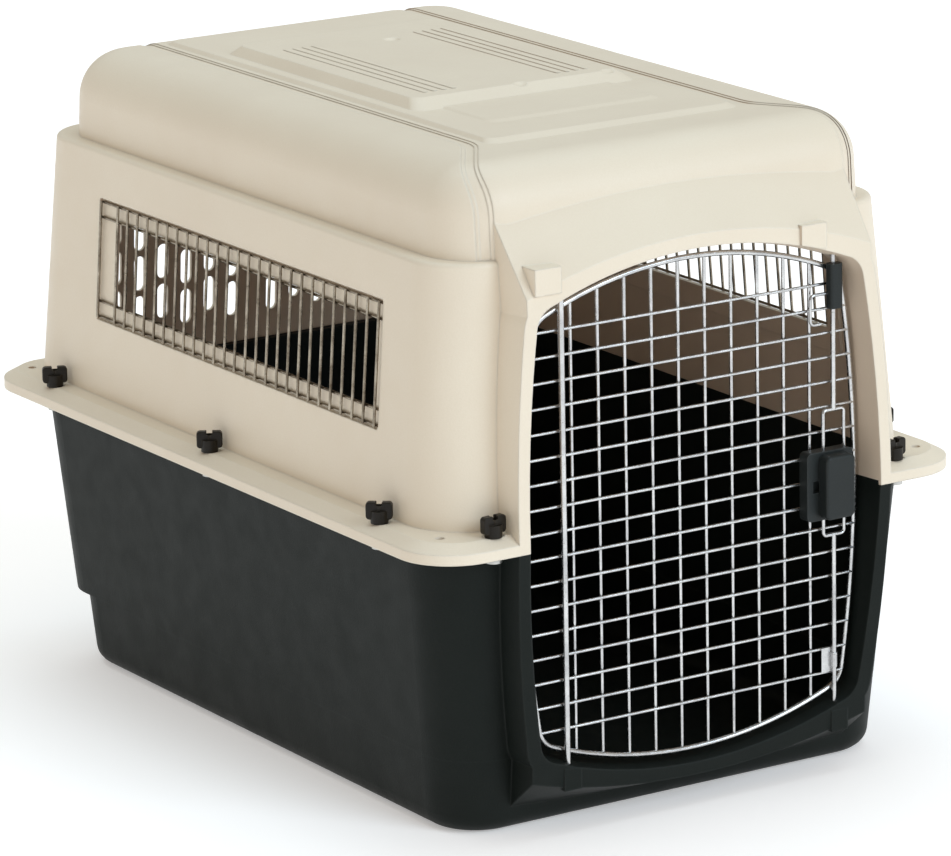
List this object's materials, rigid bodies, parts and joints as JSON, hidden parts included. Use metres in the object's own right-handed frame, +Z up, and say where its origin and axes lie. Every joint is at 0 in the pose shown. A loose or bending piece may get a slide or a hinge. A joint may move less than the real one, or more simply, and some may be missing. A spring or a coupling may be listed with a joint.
{
  "type": "pet transport carrier",
  "caption": "Plastic pet transport carrier: two shells bolted at a flange, wire door with a squeeze latch, wire side windows and vent slots at the rear.",
  "frame": {"origin": "middle of the footprint, on the floor", "axes": "+Z up; the doorway faces -Y; +X is the right-hand side as seen from the doorway"},
  "size_m": [0.508, 0.725, 0.541],
  "materials": {
    "cream_plastic": "fine matte grain",
    "dark_plastic": "fine matte grain",
    "latch_plastic": "satin",
    "nut_plastic": "satin",
    "wire": "bright plated",
    "bolt_steel": "plain"
  },
  "bodies": {
    "shell": {"bottom_shell": "dark_plastic", "top_shell": "cream_plastic", "closure_bolts": "bolt_steel", "left_grille_rows": "wire", "left_grille_bars": "wire", "right_grille_rows": "wire", "right_grille_bars": "wire"},
    "door": {"door_border_wire": "wire", "door_upright_wires": "wire", "door_cross_wires": "wire", "door_hinge_rod": "wire", "latch_housing": "latch_plastic", "latch_sleeve": "latch_plastic", "latch_keeper": "wire", "sleeve_clip": "wire"},
    "handle": {"latch_handle": "latch_plastic"},
    "upper_rod": {"latch_rod_upper": "wire"},
    "lower_rod": {"latch_rod_lower": "wire"},
    "nut_1": {"wing_nut_1": "nut_plastic"},
    "nut_2": {"wing_nut_2": "nut_plastic"},
    "nut_3": {"wing_nut_3": "nut_plastic"},
    "nut_4": {"wing_nut_4": "nut_plastic"},
    "nut_5": {"wing_nut_5": "nut_plastic"},
    "nut_6": {"wing_nut_6": "nut_plastic"},
    "nut_7": {"wing_nut_7": "nut_plastic"},
    "nut_8": {"wing_nut_8": "nut_plastic"}
  },
  "joints": [
    {"name": "door_swing", "type": "hinge", "parent": "shell", "child": "door", "pos_m": [-0.122, -0.34185, 0.243], "axis": [0, 0, -1], "range_deg": [0, 130]},
    {"name": "latch_squeeze", "type": "slide", "parent": "door", "child": "handle", "axis": [-1, 0, 0], "range_m": [0, 0.008], "stiffness_N_per_m": 600, "springref_m": -0.002},
    {"name": "upper_rod_draw", "type": "slide", "parent": "door", "child": "upper_rod", "axis": [0, 0, -1], "range_m": [0, 0.012]},
    {"name": "lower_rod_draw", "type": "slide", "parent": "door", "child": "lower_rod", "axis": [0, 0, 1], "range_m": [0, 0.012]},
    {"name": "nut_1_turn", "type": "hinge", "parent": "shell", "child": "nut_1", "pos_m": [-0.2395, -0.262, 0.258], "axis": [0, 0, 1], "continuous": true},
    {"name": "nut_2_turn", "type": "hinge", "parent": "shell", "child": "nut_2", "pos_m": [-0.2395, 0, 0.258], "axis": [0, 0, 1], "continuous": true},
    {"name": "nut_3_turn", "type": "hinge", "parent": "shell", "child": "nut_3", "pos_m": [-0.2395, 0.262, 0.258], "axis": [0, 0, 1], "continuous": true},
    {"name": "nut_4_turn", "type": "hinge", "parent": "shell", "child": "nut_4", "pos_m": [0.2395, -0.262, 0.258], "axis": [0, 0, 1], "continuous": true},
    {"name": "nut_5_turn", "type": "hinge", "parent": "shell", "child": "nut_5", "pos_m": [0.2395, 0, 0.258], "axis": [0, 0, 1], "continuous": true},
    {"name": "nut_6_turn", "type": "hinge", "parent": "shell", "child": "nut_6", "pos_m": [0.2395, 0.262, 0.258], "axis": [0, 0, 1], "continuous": true},
    {"name": "nut_7_turn", "type": "hinge", "parent": "shell", "child": "nut_7", "pos_m": [-0.19, -0.3475, 0.258], "axis": [0, 0, 1], "continuous": true},
    {"name": "nut_8_turn", "type": "hinge", "parent": "shell", "child": "nut_8", "pos_m": [0.19, -0.3475, 0.258], "axis": [0, 0, 1], "continuous": true}
  ],
  "couplings": [
    {"joint": "upper_rod_draw", "follows": "latch_squeeze", "ratio": 1.5},
    {"joint": "lower_rod_draw", "follows": "latch_squeeze", "ratio": 1.5}
  ]
}
